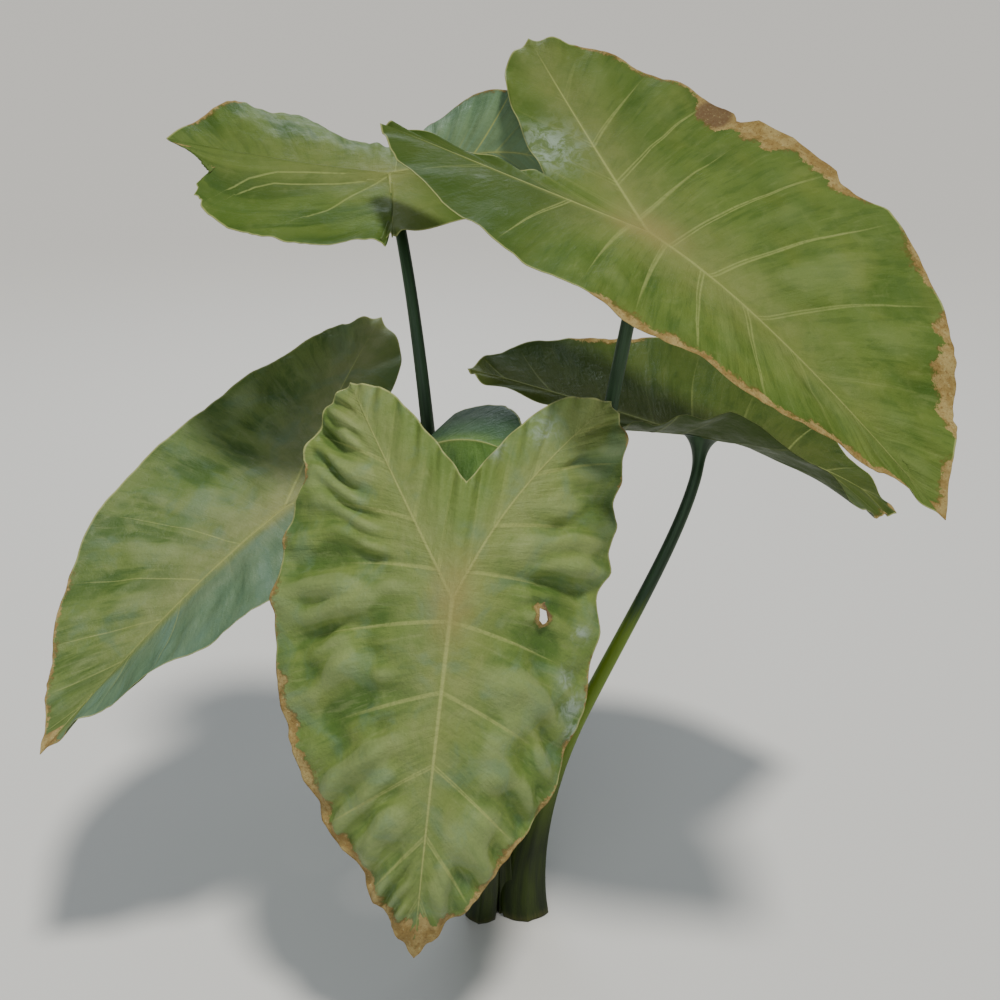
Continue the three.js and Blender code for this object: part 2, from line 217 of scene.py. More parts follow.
def bend(leaf, u, v, height):
    """Plan points bent along the midrib and across it, in the leaf's own frame."""
    left = v >= 0

    def pick(key):
        return np.where(left, leaf["left"][key], leaf["right"][key])

    mean_lobe = (leaf["left"]["lobe"] + leaf["right"]["lobe"]) / 2
    ahead = np.maximum(0, u / leaf["apex"])
    behind = np.maximum(0, -u / mean_lobe)
    fine = np.linspace(0, BEND_REACH, BEND_STEPS)
    droop, tip = math.radians(leaf["droop"]), math.radians(leaf["tip_droop"])
    lobe = -math.radians(leaf["lobe_droop"])
    turns = {1: droop * fine + tip * fine**3, -1: lobe * fine * LOBE_BEND}
    scale = {1: leaf["apex"], -1: -mean_lobe * LOBE_BEND}
    x, z, turn = np.zeros_like(u), np.zeros_like(u), np.zeros_like(u)
    for sign in (1, -1):
        ds = scale[sign] * (fine[1] - fine[0])
        mid = (turns[sign][1:] + turns[sign][:-1]) / 2
        xs = np.concatenate([[0], np.cumsum(np.cos(mid) * ds)])
        zs = np.concatenate([[0], np.cumsum(-np.sin(mid) * ds)])
        share = np.clip(u / scale[sign], 0, BEND_REACH)
        use = u * sign > 0
        x = np.where(use, np.interp(share, fine, xs), x)
        z = np.where(use, np.interp(share, fine, zs), z)
        turn = np.where(use, np.interp(share, fine, turns[sign]), turn)
    sign = np.where(left, 1, -1)
    fold = np.radians(pick("fold") + pick("to_apex") * ahead + pick("to_lobe") * behind)
    curl = np.radians(pick("curl")) / pick("width")
    slope = fold + curl * np.abs(v)
    across = (np.sin(slope) - np.sin(fold)) / curl
    rise = (np.cos(fold) - np.cos(slope)) / curl
    up = rise + height * np.cos(slope)
    across = sign * (across - height * np.sin(slope))
    return np.stack([x + up * np.sin(turn), across, z + up * np.cos(turn)], -1)


def leaf_axes(leaf):
    """Columns are the leaf's own axes in the plant."""
    a, b, c = (math.radians(leaf[key]) for key in ("heading", "pitch", "roll"))
    about_z = np.array([[math.cos(a), -math.sin(a), 0], [math.sin(a), math.cos(a), 0], [0, 0, 1]])
    about_y = np.array([[math.cos(b), 0, math.sin(b)], [0, 1, 0], [-math.sin(b), 0, math.cos(b)]])
    about_x = np.array([[1, 0, 0], [0, math.cos(c), -math.sin(c)], [0, math.sin(c), math.cos(c)]])
    return about_z @ about_y @ about_x


def place(leaf, points):
    """Points of the leaf's own frame in the plant."""
    return points @ leaf_axes(leaf).T + np.array(leaf["seat"], float)


# Each leaf, in millimetres and degrees: seat is where the stalk meets the blade; heading, pitch and roll
# turn the blade, whose plan has u towards the apex and v to the left. A bow or turn that isn't named is 0.
LEAVES = [
    dict(
        name="upper_right_leaf", seat=(118, 34, 695), heading=-34.5, pitch=18.5, roll=-8.5,
        apex=348, sinus=112, droop=36, tip_droop=-11, lobe_droop=-2,
        waves=4, wave_height=3, rib_bow=14,
        left=dict(width=171, lobe=240, spread=136, fullness=1, roundness=0.6,
            fold=35, to_apex=3, to_lobe=-1, curl=3),
        right=dict(width=127, lobe=258, spread=55, fullness=-0.2, roundness=-0.1,
            fold=-15, to_apex=1, to_lobe=-4, curl=-3),
        notches=[("left", 1.12, 0.03, 0.06), ("left", 0.88, 0.05, 0.05)],
        stalk=dict(foot=(8, 30), size=(20, 20), turn=20, rise=(58, 40, 265), crest=(70, -14, 470),
            middle=7.4, top=5.8, ahead=0),
    ),
    dict(
        name="upper_left_leaf", seat=(-114, 187, 716), heading=176, pitch=-4, roll=-6,
        apex=214, sinus=105, droop=-9, tip_droop=1, lobe_droop=14,
        waves=3, wave_height=2.5,
        left=dict(width=117, lobe=20, spread=98, fullness=1.9, roundness=-1,
            fold=-17, to_apex=-19, to_lobe=-8, curl=8),
        right=dict(width=108, lobe=146, spread=65, fullness=3, roundness=1.4,
            fold=12, to_apex=23, to_lobe=62, curl=-37),
        notches=[("left", 0.19, 0.2, 0.68), ("left", 0.36, 0.07, 0.14)],
        stalk=dict(foot=(-12, 33), size=(19, 20), rise=(-75, 24, 277), crest=(-58, 34, 524),
            middle=7.2, top=5.2, ahead=0),
    ),
    dict(
        name="left_leaf", seat=(-221, 106, 404), heading=-135, pitch=20.5, roll=4,
        apex=324, sinus=93, droop=18, tip_droop=-7, lobe_droop=11,
        waves=4, wave_height=3,
        left=dict(width=142, lobe=185, spread=74, fullness=0.3, roundness=-0.3,
            fold=-4, to_apex=26, to_lobe=0, curl=10),
        right=dict(width=150, lobe=238, spread=128, fullness=0.4, roundness=0.9,
            fold=17, to_apex=0, to_lobe=9, curl=21),
        notches=[("left", 0.62, 0.06, 0.07), ("right", 1.75, 0.06, 0.06)],
        stalk=dict(foot=(-26, 14), size=(17, 25), rise=(-49, 15, 162), crest=(-177, 85, 263),
            middle=6.4, top=4.8, ahead=0),
    ),
    dict(
        name="front_leaf", seat=(-47, -143, 436), heading=-104, pitch=61, roll=-11.5,
        apex=323, sinus=96, droop=23, tip_droop=11, lobe_droop=5,
        waves=6, wave_height=3,
        left=dict(width=149, lobe=186, spread=119, lobe_bow=13, fullness=0.5, roundness=0.8,
            fold=-23, to_apex=3, to_lobe=13, curl=-21),
        right=dict(width=169, lobe=179, spread=124, fullness=0.3, roundness=0.4,
            fold=-17, to_apex=-6, to_lobe=-2, curl=-13),
        notches=[("left", 1.15, 0.06, 0.04), ("right", 1.42, 0.08, 0.06), ("left", 0.55, 0.06, 0.04)],
        stalk=dict(foot=(-27, -8), size=(17, 21), rise=(-10, -34, 180), crest=(-28, -40, 375),
            middle=6.8, top=5.2, ahead=0),
    ),
    dict(
        name="right_leaf", seat=(169, 134, 473), heading=7.5, pitch=9, roll=8,
        apex=266, sinus=71, droop=30, tip_droop=0, lobe_droop=5,
        waves=4, wave_height=3,
        left=dict(width=165, lobe=204, spread=90, fullness=0.2, roundness=-0.1,
            fold=5, to_apex=2, to_lobe=1, curl=7),
        right=dict(width=146, lobe=108, spread=51, fullness=0.3, roundness=-0.1,
            fold=25, to_apex=-39, to_lobe=-7, curl=20),
        notches=[("left", 1.3, 0.1, 0.06)],
        stalk=dict(foot=(16, -3), size=(26, 23), rise=(-10, 24, 126), crest=(197, 75, 386),
            middle=7.4, top=5.4, ahead=22),
    ),
    dict(
        name="young_leaf", seat=(-79, 1, 507), heading=-36, pitch=-34.5, roll=-2.5,
        apex=124, sinus=24, droop=48, tip_droop=14, lobe_droop=13,
        waves=2, wave_height=1.5,
        left=dict(width=67, lobe=50, spread=24, fullness=0.8, roundness=0.4,
            fold=19, to_apex=2, to_lobe=-6, curl=-7),
        right=dict(width=75, lobe=48, spread=24, fullness=0.6, roundness=0.2,
            fold=-34, to_apex=-13, to_lobe=0, curl=7),
        notches=[],
        stalk=dict(foot=(-2, -1), size=(12, 12), rise=(-4, 0, 200), crest=(-28, 0, 390),
            middle=4.6, top=3.4, ahead=0),
    ),
]

# How each blade looks.
# veins are the rows where side veins start, sweep how far forward they run, strong_rows where they are
# clearest, faint and pale how clear, double how far apart their two lines lie; strokes are further veins.
# dead is the withered margin, as (side, from row, to row, depth), and tears a torn margin in the same way.
# hole is a torn hole, spots are painted highlights of a bluish light, and burnt the darkest withered
# places, as (u, v, radius).
# pucker, bands, lumps and ruffle are heights of relief, which calm_middle takes away beside the midrib.
# wax is a thin bloom of wax with painted bluish sheen, stronger by wax_half on the side
# wax_side from the row wax_from, in wax_tone; over that half it is painted
# sheen on most blades and painted shade on the young leaf. dark is painted shade over a blade that lies in
# shade, and shaded is painted shade on the lobes. tint multiplies the green of the upper side: the blade's
# own tint together with painted light that makes some blades brighter and others darker. rib_end is the row
# where the midrib fades out, and the rest are shares.
PLAIN_VEINS = [0.2, 0.38, 0.57, 0.76, 0.94, 1.12, 1.34, 1.6, 1.82]
LOOKS = {
    "upper_right_leaf": dict(
        veins=dict(
            left=[0.13, 0.28, 0.45, 0.64, 0.8, 0.93, 1.06, 1.23, 1.42, 1.66],
            right=[0.16, 0.34, 0.52, 0.68, 0.82, 0.94, 1.06, 1.28, 1.6],
        ),
        dead=[
            ("left", 1.2, 1.7, 4), ("left", 0.97, 1.27, 34), ("left", 0.84, 1.02, 17), ("left", 0.66, 0.8, 8),
            ("left", 0.34, 0.64, 19), ("left", -0.1, 0.3, 10), ("left", -0.1, 0.1, 26),
            ("right", 0.3, 0.66, 12), ("right", 0.6, 1.05, 13), ("right", -0.1, 0.1, 26),
        ],
        spots=[(-132, 27, 30)], burnt=[(-38, 156, 20)],
        tint=(0.83, 0.85, 1.08), pale=0.6, faint=0.2, double=1.7, strong_rows=(0.45, 0.75, 1.3, 1.75),
        pucker=0.9, bands=0.4, lumps=1.2, ruffle=0.6,
        wax=0.04, shaded=0.8, warm=0.4, glow=0.7, gloss=0.07, streaks=0.36,
    ),
    "upper_left_leaf": dict(
        veins=dict(left=[1.0], right=[0.3, 0.6, 0.9, 1.04, 1.12, 1.2, 1.29, 1.39, 1.5, 1.62, 1.78]),
        sweep=dict(left=0.9, right=0),
        strokes=[
            [(2, 6), (8, 14), (25, 37), (47, 65), (63, 77)],
            [(42, 6), (75, 10), (103, 15), (128, 28), (142, 46)],
            [(22, 14), (49, 22), (78, 27), (104, 30), (120, 38), (132, 50)],
        ],
        dead=[("right", 0.2, 0.5, 5), ("left", 0.05, 0.35, 3), ("right", 1.1, 1.5, 2)],
        tears=[("left", 0.02, 0.5, 5)],
        tint=(0.7, 0.76, 0.9), pale=1.0, faint=0.05, strong_rows=(0.95, 1.1, 1.6, 1.9),
        rib_end=0.9, pucker=2.0, bands=2.2, lumps=2.4, ruffle=0.7,
        wax=0.04, wax_side=-1, wax_half=0.85, wax_from=1.0, wax_tone=(128, 156, 118),
        warm=0.2, glow=0.15, gloss=0.06,
    ),
    "left_leaf": dict(
        veins=dict(left=PLAIN_VEINS, right=[0.18, 0.34, 0.5, 0.66, 0.82, 0.97, 1.12, 1.34, 1.7]),
        dead=[
            ("left", -0.1, 0.16, 26), ("left", 0.1, 0.26, 4),
            ("right", -0.1, 0.16, 26), ("right", 0.1, 0.7, 4),
        ],
        tint=(0.98, 0.96, 1.6), pale=0.7, faint=0.8,
        pucker=1.2, bands=1.3, lumps=1.8, ruffle=0.6,
        wax=0.28, wax_half=0.9, glow=0.25,
    ),
    "front_leaf": dict(
        dead=[
            ("left", -0.1, 0.24, 36), ("left", 0.1, 0.34, 17), ("left", 0.34, 0.62, 7),
            ("left", 0.64, 0.73, 8), ("left", 0.76, 0.84, 6), ("left", 0.88, 1.0, 4),
            ("left", 1.48, 1.58, 6), ("left", 1.66, 1.8, 4),
            ("right", -0.1, 0.24, 36), ("right", 0.1, 0.34, 18), ("right", 0.3, 0.92, 14),
            ("right", 0.95, 1.1, 5), ("right", 1.16, 1.24, 8), ("right", 1.4, 1.5, 6),
        ],
        hole=(6, 84, 6.2), burnt=[(0, 92, 9)],
        spots=[(88, 128, 14), (62, 118, 10), (112, 132, 9), (20, 128, 8), (-150, 62, 13), (-128, 20, 9)],
        tint=(1.14, 1.12, 1.75), pale=0.75, faint=0.6, double=1.1, strong_rows=(0.1, 0.5, 1.5, 1.95),
        pucker=2.2, bands=4.4, lumps=3.2, ruffle=0.4, calm_middle=0.9,
        wax=0.3, warm=0.3, glow=0.7, gloss=0.2, streaks=0.45, bright_rib=0.45,
    ),
    "right_leaf": dict(
        dead=[("left", -0.1, 0.14, 12), ("right", 0.25, 0.5, 7), ("left", 1.1, 1.4, 9)],
        tint=(0.98, 0.95, 1.05), pale=0.6, faint=0.8, vein_width=1.5,
        pucker=0.7, bands=0.3, lumps=0.8, ruffle=0.35,
        wax=0.0, glow=0.15, gloss=0.08, dark=0.62,
    ),
    "young_leaf": dict(
        veins=dict(left=PLAIN_VEINS[::3], right=PLAIN_VEINS[::3]),
        tint=(0.7, 0.92, 1.1), pale=0.1, faint=1.0, rib_width=0.5,
        pucker=1.3, bands=0.4, lumps=1.0, ruffle=0.2,
        wax=0.25, wax_half=1.0, wax_tone=(36, 66, 48), warm=0.0, glow=0.0, bright_rib=0.15,
    ),
}
USUAL = dict(
    veins=dict(left=PLAIN_VEINS, right=PLAIN_VEINS), sweep=dict(left=0, right=0), double=0.0,
    strokes=[], dead=[], hole=None, spots=[], burnt=[], tears=[], warm=0.1,
    strong_rows=(0.3, 0.7, 1.3, 1.75), rib_end=-0.1, rib_width=1.0, vein_width=1.0, calm_middle=0.4,
    wax_half=0.0, wax_side=1, wax_from=-1.0, wax_tone=(92, 122, 84),
    dark=0.0, shaded=0.0, gloss=0.25, streaks=0.75, bright_rib=0.75,
)
for leaf in LEAVES:
    leaf["look"] = SimpleNamespace(**{**USUAL, **LOOKS[leaf["name"]]})

# What the blades' materials read from the mesh, one number a point
MOST_STROKES = 3
SCALARS = (
    "u", "v", "edge", "rib", "vein", "pale", "along", "reach", "dead", "number", "relief", "waxy", "burnt",
    "inner", "hollow", *(f"stroke_{k}" for k in range(MOST_STROKES)),
)


def vein_number(veins, row):
    """Counts side veins from the apex; whole numbers lie on a vein."""
    places = [0, *veins, 2]
    return np.interp(row, places, range(len(places)))


def rib_share(along):
    """How strong a rib is: 1 at the seat, 0 at the apex or the lobe's tip."""
    return np.clip(1 - np.abs(along - 1), 0, 1)


def vein_distance(u, v, number, row, step):
    """Distance in the plan to the nearest side vein, in millimetres."""
    u_row, u_step = np.gradient(u, row, step)
    v_row, v_step = np.gradient(v, row, step)
    n_row, n_step = np.gradient(number, row, step)
    area = u_row * v_step - v_row * u_step
    n_u = n_row * v_step - n_step * v_row
    n_v = n_step * u_row - n_row * u_step
    slope = np.hypot(n_u, n_v) / np.maximum(np.abs(area), 1e-6)
    nearest = np.clip(np.round(number), 1, np.max(number) - 1)
    distance = np.minimum(np.abs(number - nearest) / np.maximum(slope, 1e-6), FAR)
    return np.where(np.hypot(u_step, v_step) < 5, FAR, distance)


def stroke_distance(stroke, u, v):
    """Distance in the plan to a polyline, in millimetres, below 0 on its right; plain past its ends."""
    best = np.full(u.shape, FAR)
    for (u0, v0), (u1, v1) in zip(stroke, stroke[1:]):
        du, dv = u1 - u0, v1 - v0
        t = np.clip(((u - u0) * du + (v - v0) * dv) / (du * du + dv * dv), 0, 1)
        away = np.hypot(u - u0 - t * du, v - v0 - t * dv)
        side = np.where(du * (v - v0) - dv * (u - u0) < 0, -1, 1)
        best = np.where(away < np.abs(best), away * side, best)
    return best


def open_hole(look, u, v):
    """Moves points inside a torn hole out to its rim, and marks them; also how far the rest lie from it."""
    if look.hole is None:
        return u, v, np.zeros_like(u), np.full(u.shape, FAR)
    hole_u, hole_v, radius = look.hole
    du, dv = u - hole_u, v - hole_v
    angle = np.arctan2(dv, du)
    torn = 0.24 * np.sin(2 * angle + 0.6) + 0.16 * np.sin(5 * angle) + 0.1 * np.sin(9 * angle + 1)
    rim = radius * (1 + torn)
    away = np.hypot(du, dv)
    inside = away < rim
    push = np.where(inside, rim / np.maximum(away, 0.1), 1)
    return hole_u + du * push, hole_v + dv * push, inside.astype(float), np.maximum(away - rim, 0)


def between_rows(row, start, end, soft):
    """1 between two rows and 0 elsewhere, with soft ends."""
    return smooth(row, start, start + soft) * (1 - smooth(row, end - soft, end))


def near_places(places, u, v):
    """1 at the middle of each place, given as (u, v, radius), and fading outwards."""
    near = np.zeros_like(u)
    for place_u, place_v, radius in places:
        near = np.maximum(near, np.exp(-((u - place_u) ** 2 + (v - place_v) ** 2) / radius**2))
    return near


def withered_depth(look, side, row):
    """How deep the withered margin reaches at each row, in millimetres."""
    depth = np.zeros_like(row)
    for dead_side, start, end, deepest in look.dead:
        if dead_side == side:
            depth = np.maximum(depth, deepest * between_rows(row, start, end, 0.05))
    return depth


def margin_wear(look, side, row, dead, shift, rag):
    """How far the margin is worn back at each row, in millimetres."""
    ends = smooth(row, 0.14, 0.36) * (1 - smooth(row, 1.85, 1.98))
    worn = np.minimum(dead, DEEPEST_WEAR)
    wear = ends * (rag(row * 31 + shift, 0.5) + 0.8 + worn * 0.1 * (1 + rag(row * 55 + shift, 3.5)))
    for torn_side, start, end, depth in look.tears:
        if torn_side == side:
            ragged = 0.5 + 0.9 * rag(row * 47 + shift, 6.5) + 0.5 * rag(row * 110, 1.5)
            wear = wear + depth * between_rows(row, start, end, 0.04) * ragged
    return wear


def flat_part(leaf, side, part, rag):
    """A half's outer part, or the part inside its lobe's rib, laid flat, as grids of points and measures."""
    look = leaf["look"]
    shift = NOISE_SHIFTS[side]
    if part == "outer":
        on_midrib = np.linspace(0, 1, MIDRIB_ROWS + 1)
        on_lobe = 1 + np.arange(1, LOBE_ROWS + 1) / LOBE_ROWS
        along, step = np.concatenate([on_midrib, on_lobe]), STEPS
        dead = withered_depth(look, side, along)
        u, v, length = outer_plan(leaf, side, along, step, margin_wear(look, side, along, dead, shift, rag))
        row, calm = along, 1
    else:
        row, step = np.linspace(0, 1, LOBE_ROWS + 1), np.linspace(0, 1, INNER_STEPS + 1)
        along, dead = 2 - row, np.zeros_like(row)
        u, v, length = inner_plan(leaf, side, row, step)
        calm = 0.25 * (1 - smooth(row, 0.6, 1))[:, None]
    u, v, hollow, to_hole = open_hole(look, u, v if side == "left" else -v)
    along = np.broadcast_to(along[:, None], u.shape)
    length = np.broadcast_to(length[:, None], u.shape)
    reach = np.broadcast_to(step[None, :], u.shape)
    number = vein_number(look.veins[side], along + look.sweep[side] * reach)
    to_rib = reach * length
    outwards = 1 - look.calm_middle * (1 - smooth(reach, 0.15, 0.5))
    return SimpleNamespace(
        u=u, v=v, hollow=hollow, to_hole=to_hole, along=along, length=length, reach=reach, number=number,
        to_rib=to_rib, to_edge=(1 - reach) * length, to_vein=vein_distance(u, v, number, row, step),
        strokes=[stroke_distance(stroke, u, v) for stroke in look.strokes],
        dead=dead[:, None], shift=shift, size=min(1, leaf["apex"] / FULL_APEX), calm=calm, outwards=outwards,
        fade=smooth(to_rib, 2, 18) * smooth(along, 0, 0.12) * calm * outwards,
        strength=rib_share(along) * smooth(along, look.rib_end, look.rib_end + 0.2),
    )


def relief_of(look, flat, lumps, ripple):
    """Puckers between side veins, bands beside them and lumps, in millimetres."""
    number, shift = flat.number, flat.shift
    between = np.abs(np.sin(np.pi * number)) ** 1.5 * np.sin(np.pi * np.minimum(flat.reach, 0.97)) ** 0.9
    between = between * (0.65 + 0.7 * ripple(np.floor(number) * 1.7 + shift, 4.4) + 0.35 * flat.outwards)
    band = np.sin(4.2 * np.pi * number + 3 * ripple(number * 1.1 + shift, flat.to_rib / 45))
    band = band * (0.55 + 0.6 * ripple(number * 0.8 + 3 * shift, flat.to_rib / 40 + 5))
    band = band * flat.outwards * smooth(flat.reach, 0.1, 0.35) * (1 - smooth(flat.reach, 0.9, 1))
    swell = (
        1.5 * lumps(number * 1.3 + shift, flat.to_rib / 34)
        + 0.8 * lumps(number * 3.1 + 5 * shift, flat.to_rib / 19 + 9)
        + 0.35 * lumps(flat.u / 17, flat.v / 17)
    )
    relief = look.pucker * 2.6 * between * flat.calm + look.bands * band * flat.calm
    relief = relief + look.lumps * swell * flat.fade
    return relief * flat.size * smooth(flat.length, 12, 90)


def height_of(leaf, flat, relief, ripple):
    """Height of the upper side: relief, a waved, ruffled and curled margin, grooves over veins, and ribs."""
    look, along, shift = leaf["look"], flat.along, flat.shift
    wave = leaf["wave_height"] * flat.reach**2 * np.sin(2 * np.pi * leaf["waves"] * along)
    wave = wave * np.minimum(1, 4 * along)
    ruffle = np.exp(-flat.to_edge / 14) * smooth(flat.length, 25, 100) * smooth(along, 0.1, 0.4) * flat.calm
    ruffle = look.ruffle * ruffle * (2.2 * ripple(along * 26 + shift, 0.2) + ripple(along * 61 + shift, 2.7))
    withered = 1.0 + np.minimum(flat.dead, DEEPEST_WEAR) * 0.06 * (1 + ripple(along * 34, 7.1))
    curl = np.exp(-flat.to_edge / 7) * smooth(flat.length, 25, 90) * flat.calm * withered
    curl = curl + 1.6 * np.exp(-flat.to_hole / 2.5) * (1 + 0.6 * ripple(flat.u / 4, flat.v / 4))
    groove = 0.6 * np.exp(-((flat.to_vein / 1.4) ** 2)) * flat.fade * (1 - smooth(flat.reach, 0.8, 0.98))
    groove = groove + sum(1.2 * np.exp(-((stroke / 3.0) ** 2)) for stroke in flat.strokes)
    rib = 0.5 * np.exp(-((flat.to_rib / (1.2 + 2.6 * flat.strength)) ** 2)) * smooth(flat.length, 5, 40)
    return relief + wave + ruffle + curl - groove + rib


def ribs_below(flat):
    """How far the main ribs and the side veins stand out on the underside, in millimetres."""
    deep = flat.size * (RIB_TIP + (RIB_DEPTH - RIB_TIP) * flat.strength)
    side_rib = np.exp(-((flat.to_vein / 1.3) ** 2)) * (1 - smooth(flat.reach, 0.4, 0.95))
    side_rib = side_rib * smooth(flat.to_rib, 0, 4)
    return deep * np.exp(-((flat.to_rib / (1.6 + 2.4 * flat.strength)) ** 2)) + 1.1 * flat.size * side_rib


def part_of_blade(leaf, side, part, noises):
    """One part of a blade as grids of points and of what the material reads."""
    lumps, ripple, rag = noises
    look = leaf["look"]
    flat = flat_part(leaf, side, part, rag)
    along, shift = flat.along, flat.shift
    start, full, less, none = look.strong_rows
    by_seat = smooth(along, start, full) * (1 - smooth(along, less, none))
    by_seat = look.faint + (1 - look.faint) * by_seat
    relief = relief_of(look, flat, lumps, ripple)
    height = height_of(leaf, flat, relief, ripple)
    ragged = flat.dead * (0.72 + 0.4 * rag(along * 38 + shift, 5.5) + 0.22 * rag(along * 97 + shift, 8.5))
    brown = np.clip(0.5 + (ragged - flat.to_edge) / 12, 0, 1) * (flat.dead > 0)
    strokes = flat.strokes + [np.full(along.shape, FAR)] * (MOST_STROKES - len(flat.strokes))
    return dict(
        u=flat.u, v=flat.v, points=place(leaf, bend(leaf, flat.u, flat.v, height)), below=ribs_below(flat),
        edge=np.minimum(flat.to_edge, flat.to_hole + 1), rib=flat.to_rib, vein=flat.to_vein,
        pale=look.pale * by_seat * (1 - smooth(flat.reach, 0.75, 1)), along=along, reach=flat.reach,
        dead=np.maximum(brown, 1 - smooth(flat.to_hole, 1, 7)), number=flat.number, relief=relief,
        waxy=near_places(look.spots, flat.u, flat.v), burnt=near_places(look.burnt, flat.u, flat.v),
        inner=smooth(flat.to_rib, 0, 15) * (part == "inner"), hollow=flat.hollow,
        **{f"stroke_{k}": stroke for k, stroke in enumerate(strokes)},
    )


def point_normals(points, quads):
    """Unit normals of the points, each the sum of its faces' own."""
    normals = np.zeros_like(points)
    for a, b, c in ((0, 1, 2), (0, 2, 3)):
        start = points[quads[:, a]]
        cross = np.cross(points[quads[:, b]] - start, points[quads[:, c]] - start)
        for corner in (a, b, c):
            np.add.at(normals, quads[:, corner], cross)
    return unit(normals)


def rim_walls(quads, total):
    """Walls between the two sides of a blade, on every edge that has faces on one side only."""
    starts, ends = quads.ravel(), np.roll(quads, -1, axis=1).ravel()
    real = starts != ends
    starts, ends = starts[real], ends[real]
    single = ~np.isin(starts * total + ends, ends * total + starts)
    starts, ends = starts[single], ends[single]
    return np.stack([ends, starts, starts + total, ends + total], 1)


def blade_mesh(leaf, noises):
    """A blade as one closed mesh, with what the material reads kept on its points."""
    tables, faces = [], []
    count = 0
    for side in ("left", "right"):
        for part in ("outer", "inner"):
            grid = part_of_blade(leaf, side, part, noises)
            rows, steps = grid["u"].shape
            index = count + np.arange(rows * steps).reshape(rows, steps)
            count += rows * steps
            tables.append(grid)
            a, b, c, d = index[:-1, :-1], index[1:, :-1], index[1:, 1:], index[:-1, 1:]
            order = (a, d, c, b) if side == "left" else (a, b, c, d)
            faces.append(np.stack([corner.ravel() for corner in order], 1))
    flat = {key: np.concatenate([table[key].ravel() for table in tables]) for key in (*SCALARS, "below")}
    flat["points"] = np.concatenate([table["points"].reshape(-1, 3) for table in tables])

    # Parts are joined where their plan points meet, and the faces inside a hole go
    apart = HOLLOW_APART * flat["hollow"] * np.arange(count)
    keys = np.round(np.stack([flat["u"], flat["v"], apart], 1), 2) + 0.0
    _, first, back = np.unique(keys, axis=0, return_index=True, return_inverse=True)
    quads = back.ravel()[np.concatenate(faces)]
    flat = {key: value[first] for key, value in flat.items()}
    quads = quads[~(flat["hollow"][quads] > 0).all(axis=1)]

    points = flat["points"]
    total = len(points)
    normals = point_normals(points, quads)
    half = (HALF_AT_RIM + HALF_MORE_INSIDE * smooth(flat["edge"], 0, 9))[:, None]
    top = points + normals * half
    under = points - normals * (half + flat["below"][:, None])
    every = np.concatenate([quads, quads[:, ::-1] + total, rim_walls(quads, total)])
    values = {key: np.concatenate([flat[key], flat[key]]) for key in SCALARS if key != "hollow"}
    values["under"] = np.concatenate([np.zeros(total), np.ones(total)])
    return np.concatenate([top, under]), every, values


class Shader:
    """A procedural material, built node by node, with the colour painted so far."""

    def __init__(self, name):
        self.material = bpy.data.materials.new(name)
        self.material.use_nodes = True
        self.nodes = self.material.node_tree.nodes
        self.links = self.material.node_tree.links
        self.surface = self.nodes["Principled BSDF"].inputs
        self.color = None

    def put(self, socket, value):
        if isinstance(value, bpy.types.NodeSocket):
            self.links.new(value, socket)
        else:
            socket.default_value = (*value, 1) if socket.type == "RGBA" else value

    def node(self, kind, inputs, **settings):
        made = self.nodes.new(kind)
        for key, value in settings.items():
            setattr(made, key, value)
        for key, value in inputs.items():
            self.put(made.inputs[key], value)
        return made.outputs

    def read(self, name, output="Fac"):
        return self.node("ShaderNodeAttribute", {}, attribute_name=name)[output]

    def math(self, kind, a, b=0.0):
        return self.node("ShaderNodeMath", {0: a, 1: b}, operation=kind)[0]

    def times(self, a, b):
        return self.math("MULTIPLY", a, b)

    def stretch(self, vector, scale):
        return self.node("ShaderNodeVectorMath", {0: vector, 1: scale}, operation="MULTIPLY")[0]

    def step(self, value, start, end, high=1.0, low=0.0):
        inputs = {"Value": value, "From Min": start, "From Max": end, "To Min": low, "To Max": high}
        return self.node("ShaderNodeMapRange", inputs, interpolation_type="SMOOTHSTEP")[0]

    def mix(self, share, a, b, kind="MIX"):
        return self.node("ShaderNodeMix", {0: share, 6: a, 7: b}, data_type="RGBA", blend_type=kind)[2]

    def paint(self, share, *display):
        """Lays a tone over the colour so far, given in display values from 0 to 255."""
        self.color = self.mix(share, self.color, tone(*display))

    def noise(self, vector, scale, detail, rough=0.55, bend=0.0):
        inputs = dict(Vector=vector, Scale=scale, Detail=detail, Roughness=rough, Distortion=bend)
        return self.node("ShaderNodeTexNoise", inputs)["Fac"]

    def bump(self, height, distance, strength, **before):
        inputs = dict(Height=height, Distance=distance, Strength=strength, **before)
        return self.node("ShaderNodeBump", inputs)["Normal"]


def tone(red, green, blue):
    """A colour given in display values from 0 to 255."""
    share = [value / 255 for value in (red, green, blue)]
    return tuple(s / 12.92 if s <= 0.04045 else ((s + 0.055) / 1.055) ** 2.4 for s in share)


